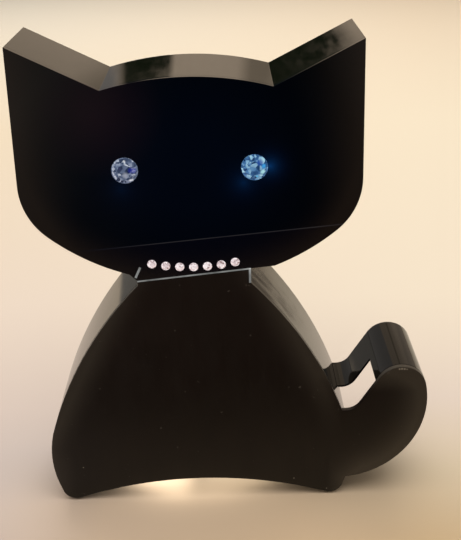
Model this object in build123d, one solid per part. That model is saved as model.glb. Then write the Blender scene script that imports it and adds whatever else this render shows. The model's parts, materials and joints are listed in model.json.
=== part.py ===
from build123d import *
import math
import os

# A cat-shaped table clock. Millimetres, +Z up, the face looks along -Y.
# Shapes are drawn about the cat's own centre line, at X = 0, with Z = 0 on the table.
# The last step moves everything sideways, so that the origin is under the whole clock.

# ---------------------------------------------------------------- driving dimensions
DEPTH = 50.0            # front face to rear rim
PANEL_T = 3.0           # front panels
WALL = 2.4              # shells and tail wall
COVER_T = 2.5           # back covers and battery door
LEDGE = 2.0             # ledge that a cover or panel seats on
FIT = 0.15              # gap all round a cover
RELIEF = 2.0            # how far the eyes and the buttons stand proud

EAR_TIP = (77.6, 234.2)
EAR_ROOT = (38.0, 214.4)
CROWN_Z = 219.6
CHEEK_HALF = 78.4       # half width of the head at the cheeks
CHEEK_R = 32.0          # round corner between cheek and chin
CHIN_R = 104.2          # the chin is an arc about CHIN_CENTRE_Z
CHIN_CENTRE_Z = 226.6

NECK_HALF = 26.8
NECK_BASE_Z = 121.0
NECK_TOP_Z = 131.0      # blank height, before the head is cut away from it
NECK_OVERLAP = 0.5      # the neck reaches down into the body
FLANK_END = (74.2, 40.7)
FLANK_BULGE = 5.6       # rise of the upper flank's arc over its chord
HIP = (76.1, 26.0)      # widest point of the body
HAUNCH_END = (73.3, 9.3)
FOOT_CORNER = (69.9, -0.9)
FOOT_R = 7.0
ARCH_Z = 11.5           # top of the arch between the feet

TAIL_CENTRE = (69.0, 54.4)
TAIL_R = 44.5           # outer curve of the tail
TAIL_ROOT_X = 55.0      # the tail starts inside the body
TIP_R = 12.6
TIP_ANGLE = 12.1        # direction from the tail's centre to its tip
TIP_SLOPE = 56.9        # lean of the tip's inner side
CURL_R = 8.2            # hollow between the tip and the body
CURL_Z = 49.7           # lowest point of that hollow
TAIL_SLOT_DEPTH = 25.0  # the inner wall of the tail is open this far back
TAIL_SLOT = (69.0, 90.0, 44.0, 65.0)   # the slot's X and Z range
TAIL_LIP_T, TAIL_LIP_L = 1.0, 5.0      # thinned edge of the wall behind the slot

EYE_X, EYE_Z, EYE_R = 29.2, 177.9, 6.0
EYE_GIRDLE = 0.6
EYE_PAVILION = 41.0     # slope of the facets behind the girdle
HOLDER_R, SEAT_CONE_R = 9.0, 3.6         # cup behind each eye
LIGHT_R = 2.5                            # eye lights
LIGHT_RIM_Y, LIGHT_FOOT_Y = -12.0, -11.0
LEG_X, LEG_W = 1.25, 0.5
STONE_COUNT, STONE_PITCH, STONE_R = 7, 6.5, 2.1
STONE_ARC_R = 96.6      # the collar stones follow the chin
STONE_SEAT = 1.7
STONE_PROUD = 0.9
STONE_GIRDLE = 0.15
STONE_PAVILION = 32.0
STONE_SIDES = 8         # main facets round every stone
TRIM_LOW_Z, TRIM_HIGH_Z = 123.3, 128.5   # the collar seam slants up from -X to +X
TRIM_W = 0.6
TRIM_PROUD, TRIM_SUNK = 0.2, 1.2
BAR_W, BAR_T = 1.0, 0.8                  # bright bars at the collar's two ends
BAR_DROP = 7.0                           # the +X bar hangs from the trim
BAR_RISE, BAR_LEAN = 5.5, 25.6           # the -X bar stands on the chin, leaning in
BAR_FOOT = (-27.4, 125.5)

# cover screws
SCREW_R = 1.3
SCREW_HEAD_R, SCREW_HEAD_H = 2.8, 1.4
BOSS_R = 3.8
SCREW_LENGTH = 11.0

# stations along the depth
FRONT_Y = -DEPTH / 2
PANEL_Y = FRONT_Y + PANEL_T
REAR_Y = DEPTH / 2
COVER_Y = REAR_Y - COVER_T

# display, under the eyes
DISPLAY_Z = 154.5
DISPLAY_W, DISPLAY_H, DISPLAY_D = 66.0, 22.0, 7.5
DISPLAY_Y = PANEL_Y + 0.6
DIGIT_W, DIGIT_H, DIGIT_STROKE = 9.0, 16.0, 1.6
DISPLAY_BOARD_Y = DISPLAY_Y + DISPLAY_D
DISPLAY_HALF_W, DISPLAY_HALF_H = 42.0, 14.2   # frame and board
BOARD_T = 1.6

# main board and controls, on the back of the body
BOARD_Z = 68.0
BOARD_HALF_W, BOARD_HALF_H = 52.0, 8.5
BOARD_Y = 11.0
BUTTON_R, BUTTON_TRAVEL = 3.5, 1.2
BUTTON_X = {"alarm_button": -24.0, "set_button": -8.0, "hour_button": 8.0, "minute_button": 24.0}
SWITCH_H = 3.6
KNOB_X, KNOB_TRAVEL = 42.0, 4.0
KNOB_SLOT = 2.2         # slot beyond the knob's middle at each end
POST_X, POST_Z = 33.5, 5.5

# battery bay: three AAA cells lying across the body
CELL_R, CELL_L, CELL_COUNT, CELL_PITCH = 5.25, 44.5, 3, 11.6
BAY_Z = 37.0
BAY_HALF_W, BAY_HALF_H = 28.5, 18.4
BAY_Y = 9.0             # floor of the tray, outside
TRAY_WALL = 1.5
DOOR_HALF_W, DOOR_TOP_Z = 28.0, 54.5
HINGE_Y, HINGE_Z = 22.8, 21.0
HINGE_R, HINGE_PIN_R = 2.0, 0.8
LUG_HALF = 2.3          # half height of the lugs that hold the hinge pin

SPEAKER_Z, SPEAKER_R, SPEAKER_D = 93.0, 13.0, 6.0
MAGNET_R, MAGNET_T = 7.0, 4.0
GRILLE_HOLE_R = 1.0
GRILLE_RINGS = ((4.0, 6), (8.0, 12))     # radius and count

FOOT_PAD = (5.0, 36.0, 2.1)   # width, length, thickness
FOOT_PAD_X = 65.0

# vent slots in the head's cover
VENT_COUNT, VENT_Z, VENT_PITCH = 5, 180.0, 5.0
VENT_HALF_W, VENT_H = 22.0, 1.6

# joint of head and body: a block under the seam, a plate over it and four screws
SEAT_HALF_W, SEAT_HALF_D = 23.0, 15.0
HEAD_SEAT_Z = 133.0     # top of the head's block, where the plate lies
BODY_SEAT_Z = 107.0     # underside of the body's block
NECK_PLATE_HALF_D, NECK_PLATE_T = 13.0, 2.0
NECK_SCREW_R, NECK_SCREW_L = 1.5, 21.0
WIRE_PASSAGE_R = 6.5

HEAD_AXIS_X = -(TAIL_CENTRE[0] + TAIL_R - CHEEK_HALF) / 2

HEAD_SCREWS = [(72.4, 186.0), (62.6, 219.9), (55.0, 145.1)]
BODY_SCREWS = [(69.2, 17.0), (61.3, 59.4), (36.4, 101.0)]
NECK_SCREWS = [(x, y) for x in (-17.0, 17.0) for y in (-9.0, 9.0)]


# ---------------------------------------------------------------- helpers
def prism(face, y_from, y_to):
    """Solid of an X-Z outline between two depths."""
    back = Plane(origin=(0, y_to, 0), x_dir=(1, 0, 0), z_dir=(0, -1, 0))
    return back * extrude(face, y_to - y_from)


def rod(x, z, radius, y_from, y_to):
    """Cylinder along Y."""
    low = (Align.CENTER, Align.CENTER, Align.MIN)
    return Pos(x, y_to, z) * Rot(90, 0, 0) * Cylinder(radius, y_to - y_from, align=low)


def post(x, y, radius, z_from, z_to):
    """Cylinder along Z."""
    low = (Align.CENTER, Align.CENTER, Align.MIN)
    return Pos(x, y, z_from) * Cylinder(radius, z_to - z_from, align=low)


def block(x_from, x_to, y_from, y_to, z_from, z_to):
    middle = Pos((x_from + x_to) / 2, (y_from + y_to) / 2, (z_from + z_to) / 2)
    return middle * Box(x_to - x_from, y_to - y_from, z_to - z_from)


def along_hinge(radius, half_length):
    """Cylinder on the battery door's hinge line."""
    return Pos(0, HINGE_Y, HINGE_Z) * Rot(0, 90, 0) * Cylinder(radius, 2 * half_length)


def both_sides(places):
    return [(side * x, z) for x, z in places for side in (-1, 1)]


def mirrored(point):
    return (-point[0], point[1])


# ---------------------------------------------------------------- outlines, in X and Z
def trim_z(x):
    """Height of the collar seam's centre line."""
    share = (x + NECK_HALF) / (2 * NECK_HALF)
    return TRIM_LOW_Z + share * (TRIM_HIGH_Z - TRIM_LOW_Z)


def chin_z(x):
    return CHIN_CENTRE_Z - math.sqrt(CHIN_R**2 - x**2)


def head_outline():
    """Head, its chin cut off straight along the collar seam."""
    cheek = (CHEEK_HALF, chin_z(CHEEK_HALF))
    edges = [
        ThreePointArc(mirrored(EAR_ROOT), (0, CROWN_Z), EAR_ROOT),
        Line(EAR_ROOT, EAR_TIP),
        Line(EAR_TIP, cheek),
        ThreePointArc(cheek, (0, chin_z(0)), mirrored(cheek)),
        Line(mirrored(cheek), mirrored(EAR_TIP)),
        Line(mirrored(EAR_TIP), mirrored(EAR_ROOT)),
    ]
    face = make_face(edges)
    cheeks = [corner for corner in face.vertices() if abs(corner.Y - cheek[1]) < 0.1]
    face = fillet(cheeks, CHEEK_R)
    below_seam = make_face(Polyline(
        (-CHEEK_HALF, trim_z(-CHEEK_HALF)),
        (CHEEK_HALF, trim_z(CHEEK_HALF)),
        (CHEEK_HALF, 0),
        (-CHEEK_HALF, 0),
        close=True,
    ))
    return face - below_seam


def flank_middle():
    """Middle of the upper flank, bulging out from its chord."""
    top = Vector(NECK_HALF, NECK_BASE_Z)
    low = Vector(*FLANK_END)
    chord = low - top
    outward = Vector(-chord.Y, chord.X).normalized()
    middle = (top + low) / 2 + outward * FLANK_BULGE
    return (middle.X, middle.Y)


def body_outline():
    """Body without the tail, up to the base of the neck."""
    neck = (NECK_HALF, NECK_BASE_Z)
    middle = flank_middle()
    edges = [
        Line(mirrored(neck), neck),
        ThreePointArc(neck, middle, FLANK_END),
        ThreePointArc(FLANK_END, HIP, HAUNCH_END),
        Line(HAUNCH_END, FOOT_CORNER),
        ThreePointArc(FOOT_CORNER, (0, ARCH_Z), mirrored(FOOT_CORNER)),
        Line(mirrored(FOOT_CORNER), mirrored(HAUNCH_END)),
        ThreePointArc(mirrored(HAUNCH_END), mirrored(HIP), mirrored(FLANK_END)),
        ThreePointArc(mirrored(FLANK_END), mirrored(middle), mirrored(neck)),
    ]
    face = make_face(edges)
    feet = [corner for corner in face.vertices() if corner.Y < 0]
    return fillet(feet, FOOT_R)


def tail_outline(inset):
    """Tail, rooted inside the body; inset draws its hollow."""
    outer_r = TAIL_R - inset
    tip_r = TIP_R - inset
    curl_r = CURL_R + inset
    centre = Vector(*TAIL_CENTRE)
    to_tip = Vector(1, 0).rotate(Axis.Z, TIP_ANGLE)
    tip = centre + to_tip * (TAIL_R - TIP_R)
    along = Vector(1, 0).rotate(Axis.Z, TIP_SLOPE)
    inward = Vector(0, 1).rotate(Axis.Z, TIP_SLOPE)
    straight = (tip.Y + TIP_R * inward.Y - CURL_Z - CURL_R * (1 - inward.Y)) / along.Y
    curl = tip + inward * (TIP_R + CURL_R) - along * straight
    root_low = centre - Vector(0, outer_r)
    outer_middle = centre + Vector(outer_r, 0).rotate(Axis.Z, (TIP_ANGLE - 90) / 2)
    meet_outer = tip + to_tip * tip_r
    meet_inner = tip + inward * tip_r
    curl_high = curl - inward * curl_r
    curl_middle = curl + Vector(curl_r, 0).rotate(Axis.Z, TIP_SLOPE / 2 - 90)
    curl_low = curl - Vector(0, curl_r)
    edges = [
        Line((TAIL_ROOT_X, root_low.Y), root_low),
        ThreePointArc(root_low, outer_middle, meet_outer),
        ThreePointArc(meet_outer, tip + Vector(0, tip_r), meet_inner),
        Line(meet_inner, curl_high),
        ThreePointArc(curl_high, curl_middle, curl_low),
        Line(curl_low, (TAIL_ROOT_X, curl_low.Y)),
        Line((TAIL_ROOT_X, curl_low.Y), (TAIL_ROOT_X, root_low.Y)),
    ]
    return make_face(edges)


HEAD = head_outline()
BODY = body_outline()
TAIL = tail_outline(0)
NECK_HEIGHT = NECK_TOP_Z - NECK_BASE_Z + NECK_OVERLAP
NECK = Pos(0, (NECK_BASE_Z + NECK_TOP_Z) / 2) * Rectangle(2 * NECK_HALF, NECK_HEIGHT)
BODY_AND_NECK = BODY + NECK - offset(HEAD, FIT)


# ---------------------------------------------------------------- panels, shells and covers
def eye_places():
    return [(-EYE_X, EYE_Z), (EYE_X, EYE_Z)]


def stone_places():
    half = (STONE_COUNT - 1) / 2
    places = []
    for index in range(STONE_COUNT):
        x = (index - half) * STONE_PITCH
        places.append((x, CHIN_CENTRE_Z - math.sqrt(STONE_ARC_R**2 - x**2)))
    return places


def head_panel():
    """Front of the head; a small lip reaches down to the trim's low end."""
    half = TRIM_W / 2
    left, right = trim_z(-NECK_HALF) + half, trim_z(NECK_HALF) + half
    lip_reach = NECK_HALF + 4
    lip = make_face(Polyline(
        (-NECK_HALF, left),
        (0, trim_z(0) + half),
        (0, EYE_Z),
        (-lip_reach, EYE_Z),
        (-lip_reach, chin_z(lip_reach) + 0.3),
        close=True,
    ))
    seam = make_face(Polyline(
        (-NECK_HALF, left),
        (NECK_HALF, right),
        (NECK_HALF, 0),
        (-NECK_HALF, 0),
        close=True,
    ))
    panel = prism(HEAD + lip - seam, FRONT_Y, PANEL_Y)
    for x, z in eye_places():
        panel -= rod(x, z, EYE_R + 0.1, FRONT_Y - 1, PANEL_Y + 1)
    for x, z in stone_places():
        panel -= rod(x, z, STONE_R + 0.05, FRONT_Y - 1, FRONT_Y + STONE_SEAT)
    return panel


def body_panel():
    """Front of body and tail, up to the underside of the trim."""
    drop = TRIM_W / 2 + 0.1
    neck = make_face(Polyline(
        (-NECK_HALF, trim_z(-NECK_HALF) - drop),
        (NECK_HALF, trim_z(NECK_HALF) - drop),
        (NECK_HALF, NECK_BASE_Z - 10),
        (-NECK_HALF, NECK_BASE_Z - 10),
        close=True,
    ))
    return prism(BODY + TAIL + neck, FRONT_Y, PANEL_Y)


def collar_trim():
    """Bright strip in the seam under the chin, with a short bar at each end."""
    half = TRIM_W / 2
    low, high = trim_z(-NECK_HALF), trim_z(NECK_HALF)
    strip = make_face(Polyline(
        (-NECK_HALF, low - half),
        (NECK_HALF, high - half),
        (NECK_HALF, high + half),
        (-NECK_HALF, low + half),
        close=True,
    ))
    trim = prism(strip, FRONT_Y - TRIM_PROUD, FRONT_Y + TRIM_SUNK)
    trim += block(NECK_HALF - BAR_W, NECK_HALF, FRONT_Y - BAR_T, FRONT_Y, high - BAR_DROP, high)
    foot_x, foot_z = BAR_FOOT
    bar = Box(BAR_W, BAR_T, BAR_RISE, align=(Align.CENTER, Align.MAX, Align.MIN))
    return [trim, Pos(foot_x, FRONT_Y, foot_z) * Rot(0, BAR_LEAN, 0) * bar]


def shell(outline, screw_places):
    """Open tube with a seat for the panel, a ledge for the cover and its screw bosses."""
    hollow = offset(outline, -WALL)
    rim = hollow - offset(outline, -WALL - LEDGE)
    tube = prism(outline - hollow, PANEL_Y, REAR_Y)
    tube += prism(rim, PANEL_Y, PANEL_Y + LEDGE)
    tube += prism(rim, COVER_Y - LEDGE, COVER_Y)
    for x, z in screw_places:
        tube += rod(x, z, BOSS_R, PANEL_Y, COVER_Y)
    for x, z in screw_places:
        tube -= rod(x, z, SCREW_R, COVER_Y - SCREW_LENGTH - 1, COVER_Y + 0.01)
    return tube


def neck_drilling():
    """Wire passage and screw holes through the two neck blocks."""
    top = HEAD_SEAT_Z + NECK_PLATE_T + 1
    holes = post(0, 0, WIRE_PASSAGE_R, BODY_SEAT_Z - 5, top)
    for x, y in NECK_SCREWS:
        holes += post(x, y, NECK_SCREW_R, BODY_SEAT_Z + 5, top)
    return holes


def neck_seat(outline, z_from, z_to):
    seat = block(-SEAT_HALF_W, SEAT_HALF_W, -SEAT_HALF_D, SEAT_HALF_D, z_from, z_to)
    return seat & prism(outline, PANEL_Y, COVER_Y)


def head_shell():
    seat = neck_seat(HEAD, NECK_BASE_Z, HEAD_SEAT_Z)
    return shell(HEAD, both_sides(HEAD_SCREWS)) + seat - neck_drilling()


def foot_pads():
    width, length, thickness = FOOT_PAD
    pads = []
    for side in (-1, 1):
        x = side * FOOT_PAD_X
        pads.append(block(x - width / 2, x + width / 2, -length / 2, length / 2, 0, thickness))
    return pads


def body_shell():
    seat = neck_seat(BODY_AND_NECK, BODY_SEAT_Z, NECK_TOP_Z)
    tube = shell(BODY_AND_NECK, both_sides(BODY_SCREWS)) + seat - neck_drilling()
    for pad in foot_pads():
        tube -= pad
    return tube


def tail_wall():
    """Side wall of the tail: hollow, open at the back, slotted at the root of the curl."""
    ring = TAIL - tail_outline(WALL) - BODY_AND_NECK
    x_from, x_to, z_from, z_to = TAIL_SLOT
    slot_back = FRONT_Y + TAIL_SLOT_DEPTH
    lip_back = slot_back + TAIL_LIP_L
    slot = block(x_from, x_to, PANEL_Y - 1, slot_back, z_from, z_to)
    thinning = prism(tail_outline(TAIL_LIP_T), slot_back, lip_back)
    thinning &= block(x_from, x_to, slot_back, lip_back, z_from, z_to)
    return prism(ring, PANEL_Y, REAR_Y) - slot - thinning


def counterbores(cover, places):
    for x, z in places:
        cover -= rod(x, z, SCREW_R + 0.2, COVER_Y - 1, REAR_Y)
        cover -= rod(x, z, SCREW_HEAD_R + 0.2, REAR_Y - SCREW_HEAD_H - 0.1, REAR_Y + 1)
    return cover


def head_back_cover():
    cover = prism(offset(HEAD, -WALL - FIT), COVER_Y, REAR_Y)
    for row in range(VENT_COUNT):
        z = VENT_Z + row * VENT_PITCH
        cover -= block(-VENT_HALF_W, VENT_HALF_W, COVER_Y - 1, REAR_Y + 1, z, z + VENT_H)
    return counterbores(cover, both_sides(HEAD_SCREWS))


def grille_places():
    places = [(0, SPEAKER_Z)]
    for ring, count in GRILLE_RINGS:
        for index in range(count):
            angle = 2 * math.pi * index / count
            places.append((ring * math.cos(angle), SPEAKER_Z + ring * math.sin(angle)))
    return places


def board_posts():
    return [(x, BOARD_Z + z) for x in (-POST_X, POST_X) for z in (-POST_Z, POST_Z)]


def body_back_cover():
    cover = prism(offset(BODY_AND_NECK, -WALL - FIT), COVER_Y, REAR_Y)
    door_low = HINGE_Z - HINGE_R - 0.6
    door_half = DOOR_HALF_W + 0.3
    cover -= block(-door_half, door_half, COVER_Y - 1, REAR_Y + 1, door_low, DOOR_TOP_Z + 0.3)
    for x in BUTTON_X.values():
        cover -= rod(x, BOARD_Z, BUTTON_R + 0.15, COVER_Y - 1, REAR_Y + 1)
    slot_from = KNOB_X - KNOB_SLOT
    slot_to = KNOB_X + KNOB_TRAVEL + KNOB_SLOT
    cover -= block(slot_from, slot_to, COVER_Y - 1, REAR_Y + 1, BOARD_Z - 2, BOARD_Z + 2)
    for x, z in grille_places():
        cover -= rod(x, z, GRILLE_HOLE_R, COVER_Y - 1, REAR_Y + 1)
    for x, z in board_posts():
        cover += rod(x, z, 2.5, BOARD_Y + BOARD_T, COVER_Y)
        cover -= rod(x, z, 0.9, BOARD_Y + BOARD_T, COVER_Y - 1)
    for side in (-1, 1):
        x_from, x_to = sorted((side * (door_half + 0.05), side * (door_half + 4)))
        cover += block(x_from, x_to, HINGE_Y - LUG_HALF, COVER_Y + 0.1,
                       HINGE_Z - LUG_HALF, HINGE_Z + LUG_HALF)
    cover -= along_hinge(HINGE_PIN_R, door_half + 3)
    return counterbores(cover, both_sides(BODY_SCREWS))


# ---------------------------------------------------------------- fasteners
def cross_screw(head_r, head_h, shank_r, length):
    """Pan screw with its head's seat at Z = 0 and a cross recess on top."""
    low = (Align.CENTER, Align.CENTER, Align.MIN)
    high = (Align.CENTER, Align.CENTER, Align.MAX)
    screw = Cylinder(head_r, head_h, align=low) + Cylinder(shank_r, length, align=high)
    screw = chamfer(screw.edges().sort_by(Axis.Z)[-1], head_h * 0.3)
    for turn in (0, 90):
        screw -= Pos(0, 0, head_h) * Rot(0, 0, turn) * Box(head_r * 1.2, head_r * 0.28, head_h)
    return screw


def cover_screws(places):
    face_back = Rot(-90, 0, 0)
    screw = cross_screw(SCREW_HEAD_R, SCREW_HEAD_H, SCREW_R, SCREW_LENGTH)
    seat_y = REAR_Y - SCREW_HEAD_H - 0.1
    return [Pos(x, seat_y, z) * face_back * screw for x, z in places]


def neck_plate():
    plate = block(-SEAT_HALF_W, SEAT_HALF_W, -NECK_PLATE_HALF_D, NECK_PLATE_HALF_D,
                  HEAD_SEAT_Z, HEAD_SEAT_Z + NECK_PLATE_T)
    return plate - neck_drilling()


def neck_screws():
    screw = cross_screw(2.9, 2.0, NECK_SCREW_R, NECK_SCREW_L)
    return [Pos(x, y, HEAD_SEAT_Z + NECK_PLATE_T) * screw for x, y in NECK_SCREWS]


# ---------------------------------------------------------------- stones and eye lights
def brilliant(radius, crown, girdle, pavilion_slope, sides):
    """Round cut stone, girdle's top at Z = 0, table up; each facet is one flat cut."""
    size = 4 * radius
    depth = girdle + radius * math.tan(math.radians(pavilion_slope)) + 1
    low = (Align.CENTER, Align.CENTER, Align.MIN)
    stone = Pos(0, 0, -depth) * Cylinder(radius, depth + crown, align=low)
    crown_slope = 34.0
    star_slope = 22.0
    step = 360 / sides
    lift = 0.04 * radius
    star_radius = radius * 0.52
    cuts = []
    for index in range(sides):
        turn = step * index
        cuts.append((turn, radius, lift, crown_slope))
        cuts.append((turn, radius, -girdle - lift, 180 - pavilion_slope))
        cuts.append((turn + step / 2, star_radius, crown, star_slope))
        for side in (-1, 1):
            cuts.append((turn + side * step / 4, radius, 0, crown_slope + 7))
            cuts.append((turn + side * step / 4, radius, -girdle, 180 - pavilion_slope - 2.5))
    for turn, reach, height, slope in cuts:
        away = Rot(0, 0, turn) * Pos(reach, 0, height) * Rot(0, slope, 0)
        stone -= away * Pos(0, 0, size / 2) * Box(size, size, size)
    return stone


FACE_FRONT = Rot(90, 0, 0)


def eye_crystal(x):
    stone = brilliant(EYE_R, RELIEF, EYE_GIRDLE, EYE_PAVILION, STONE_SIDES)
    return Pos(x, FRONT_Y, EYE_Z) * FACE_FRONT * stone


def collar_stones():
    stone = brilliant(STONE_R, STONE_PROUD, STONE_GIRDLE, STONE_PAVILION, STONE_SIDES)
    return [Pos(x, FRONT_Y, z) * FACE_FRONT * stone for x, z in stone_places()]


def eye_holder(x):
    """Cup bonded behind the panel; the crystal seats in its cone, the light in its bore."""
    cup = rod(x, EYE_Z, HOLDER_R, PANEL_Y, LIGHT_RIM_Y)
    cup = chamfer(cup.edges().sort_by(Axis.Y)[-1], 1.0)
    low = (Align.CENTER, Align.CENTER, Align.MIN)
    bore_r = LIGHT_R + 0.1
    seat = Cone(SEAT_CONE_R, bore_r, SEAT_CONE_R - bore_r, align=low)
    cup -= Pos(x, PANEL_Y, EYE_Z) * Rot(-90, 0, 0) * seat
    return cup - rod(x, EYE_Z, bore_r, PANEL_Y - 1, LIGHT_FOOT_Y)


def eye_led(x):
    """Five-millimetre light: domed lens, rim and two legs."""
    dome_y = LIGHT_FOOT_Y - 5.2
    light = rod(x, EYE_Z, LIGHT_R, dome_y, LIGHT_FOOT_Y) + Pos(x, dome_y, EYE_Z) * Sphere(LIGHT_R)
    light += rod(x, EYE_Z, LIGHT_R + 0.4, LIGHT_RIM_Y, LIGHT_FOOT_Y)
    half = LEG_W / 2
    for leg in (-LEG_X, LEG_X):
        light += block(x + leg - half, x + leg + half, LIGHT_FOOT_Y, LIGHT_FOOT_Y + 3,
                       EYE_Z - half, EYE_Z + half)
    return light


def eye_board():
    half_w, half_h = 40.0, 6.0
    y_from = LIGHT_FOOT_Y + 0.1
    board = block(-half_w, half_w, y_from, y_from + 1.2, EYE_Z - half_h, EYE_Z + half_h)
    for x, z in eye_places():
        for leg in (-LEG_X, LEG_X):
            board -= rod(x + leg, z, 0.5, y_from - 1, y_from + 2)
    return board


# ---------------------------------------------------------------- display
def display_corners():
    return [(x, DISPLAY_Z + z) for x in (-37.7, 37.7) for z in (-11.0, 11.0)]


def display_frame():
    """Light mask bonded behind the panel, with four posts for the display board."""
    frame = block(-DISPLAY_HALF_W, DISPLAY_HALF_W, PANEL_Y, PANEL_Y + 2,
                  DISPLAY_Z - DISPLAY_HALF_H, DISPLAY_Z + DISPLAY_HALF_H)
    half_w, half_h = DISPLAY_W / 2 + 0.2, DISPLAY_H / 2 + 0.2
    frame -= block(-half_w, half_w, PANEL_Y - 1, PANEL_Y + 3,
                   DISPLAY_Z - half_h, DISPLAY_Z + half_h)
    for x, z in display_corners():
        frame += rod(x, z, 2.8, PANEL_Y + 1, DISPLAY_BOARD_Y)
        frame -= rod(x, z, 0.9, PANEL_Y + 3, DISPLAY_BOARD_Y + 0.01)
    return frame


def segment_bars():
    """Centre, half length and direction of the seven bars of a digit."""
    half_w, half_h = DIGIT_W / 2, DIGIT_H / 2
    bars = [(0, z, True) for z in (-half_h, 0, half_h)]
    bars += [(x, z, False) for x in (-half_w, half_w) for z in (-half_h / 2, half_h / 2)]
    return bars


def display_segments():
    """Four seven-bar digits and a colon, let into the face of the module."""
    bars = []
    y_from, y_to = DISPLAY_Y, DISPLAY_Y + 0.5
    half = DIGIT_STROKE / 2
    for digit_x in (-24.0, -9.5, 9.5, 24.0):
        for x, z, lies_flat in segment_bars():
            reach = (DIGIT_W if lies_flat else DIGIT_H / 2) / 2 - half - 0.2
            wide, tall = (reach, half) if lies_flat else (half, reach)
            middle_x, middle_z = digit_x + x, DISPLAY_Z + z
            bars.append(block(middle_x - wide, middle_x + wide, y_from, y_to,
                              middle_z - tall, middle_z + tall))
    for z in (-4.0, 4.0):
        bars.append(rod(0, DISPLAY_Z + z, 1.0, y_from, y_to))
    return bars


def display_module(segments):
    half_w, half_h = DISPLAY_W / 2, DISPLAY_H / 2
    module = block(-half_w, half_w, DISPLAY_Y, DISPLAY_BOARD_Y,
                   DISPLAY_Z - half_h, DISPLAY_Z + half_h)
    for bar in segments:
        module -= bar
    return module


def display_board():
    board = block(-DISPLAY_HALF_W, DISPLAY_HALF_W, DISPLAY_BOARD_Y, DISPLAY_BOARD_Y + BOARD_T,
                  DISPLAY_Z - DISPLAY_HALF_H, DISPLAY_Z + DISPLAY_HALF_H)
    for x, z in display_corners():
        board -= rod(x, z, 1.1, DISPLAY_BOARD_Y - 1, DISPLAY_BOARD_Y + 3)
    return board


def display_screws():
    screw = cross_screw(2.0, 1.2, 0.9, 6.0)
    seat_y = DISPLAY_BOARD_Y + BOARD_T
    return [Pos(x, seat_y, z) * Rot(-90, 0, 0) * screw for x, z in display_corners()]


def display_ribbon():
    """Flat cable from the display board down through the neck to the main board."""
    path = FilletPolyline(
        (DISPLAY_BOARD_Y + BOARD_T + 0.6, 153.0),
        (DISPLAY_BOARD_Y + BOARD_T + 0.6, 147.0),
        (0.0, 137.0),
        (0.0, 96.0),
        (BOARD_Y - 4.0, 84.0),
        (BOARD_Y - 4.0, 73.5),
        radius=3.0,
    )
    side = Plane(origin=(-4, 0, 0), x_dir=(0, 1, 0), z_dir=(1, 0, 0))
    return side * extrude(trace(path, 1.0), 8.0)


def ribbon_plugs():
    board_back = DISPLAY_BOARD_Y + BOARD_T
    upper = block(-6, 6, board_back, board_back + 4, 152, 158)
    upper -= block(-4.1, 4.1, board_back, board_back + 1.2, 151, 153.1)
    lower = block(-6, 6, BOARD_Y - 6, BOARD_Y, 68, 74)
    lower -= block(-4.1, 4.1, BOARD_Y - 4.6, BOARD_Y - 3.4, 73.4, 75)
    return [upper, lower]


# ---------------------------------------------------------------- main board and controls
def main_board():
    board = block(-BOARD_HALF_W, BOARD_HALF_W, BOARD_Y, BOARD_Y + BOARD_T,
                  BOARD_Z - BOARD_HALF_H, BOARD_Z + BOARD_HALF_H)
    for x, z in board_posts():
        board -= rod(x, z, 1.1, BOARD_Y - 1, BOARD_Y + 3)
    return board


def board_screws():
    screw = cross_screw(2.0, 1.2, 0.9, 7.0)
    return [Pos(x, BOARD_Y, z) * Rot(90, 0, 0) * screw for x, z in board_posts()]


def clock_chip():
    chip = block(-21, -11, BOARD_Y - 1.8, BOARD_Y - 0.3, BOARD_Z - 3, BOARD_Z + 3)
    for index in range(7):
        x = -20 + 1.27 * index
        chip += block(x, x + 0.45, BOARD_Y - 1, BOARD_Y, BOARD_Z - 4, BOARD_Z + 4)
    return chip


def quartz_crystal():
    can = Rot(90, 0, 0) * extrude(SlotOverall(11, 4.6), 1.75, both=True)
    can = Pos(16, BOARD_Y - 1.8, BOARD_Z) * can
    return fillet(can.edges().sort_by(Axis.Y)[0], 0.5)


def capacitors():
    return [rod(x, BOARD_Z - 2.5, 2.5, BOARD_Y - 8, BOARD_Y) for x in (26.0, -42.0)]


def button_switches():
    face_y = BOARD_Y + BOARD_T
    switches = []
    for x in BUTTON_X.values():
        base = block(x - 3, x + 3, face_y, face_y + SWITCH_H - 0.6, BOARD_Z - 3, BOARD_Z + 3)
        switches.append(base + rod(x, BOARD_Z, 1.7, face_y + 1, face_y + SWITCH_H))
    return switches


def push_button(x):
    """Cap outside the cover, a flange that keeps it in, and a stem over its switch."""
    stem_end = BOARD_Y + BOARD_T + SWITCH_H + BUTTON_TRAVEL + 0.1
    cap = rod(x, BOARD_Z, BUTTON_R, COVER_Y - 1.5, REAR_Y + RELIEF)
    cap = fillet(cap.edges().sort_by(Axis.Y)[-1], 0.8)
    flange = rod(x, BOARD_Z, BUTTON_R + 1.2, COVER_Y - 1.6, COVER_Y - 0.1)
    stem = rod(x, BOARD_Z, 2.0, stem_end, COVER_Y - 1)
    return cap + flange + stem


def light_switch_body():
    face_y = BOARD_Y + BOARD_T
    end_x = KNOB_X + KNOB_TRAVEL
    case = block(KNOB_X - 5, end_x + 4, face_y, face_y + 5, BOARD_Z - 3.5, BOARD_Z + 3.5)
    return case - block(KNOB_X - 2, end_x + 2, face_y + 2, face_y + 6, BOARD_Z - 1.6, BOARD_Z + 1.6)


def light_switch_knob():
    face_y = BOARD_Y + BOARD_T
    knob = block(KNOB_X - 1.5, KNOB_X + 1.5, face_y + 2.2, REAR_Y + 1.2,
                 BOARD_Z - 1.4, BOARD_Z + 1.4)
    return fillet(knob.edges().filter_by(Axis.Z).sort_by(Axis.Y)[-2:], 0.6)


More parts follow.
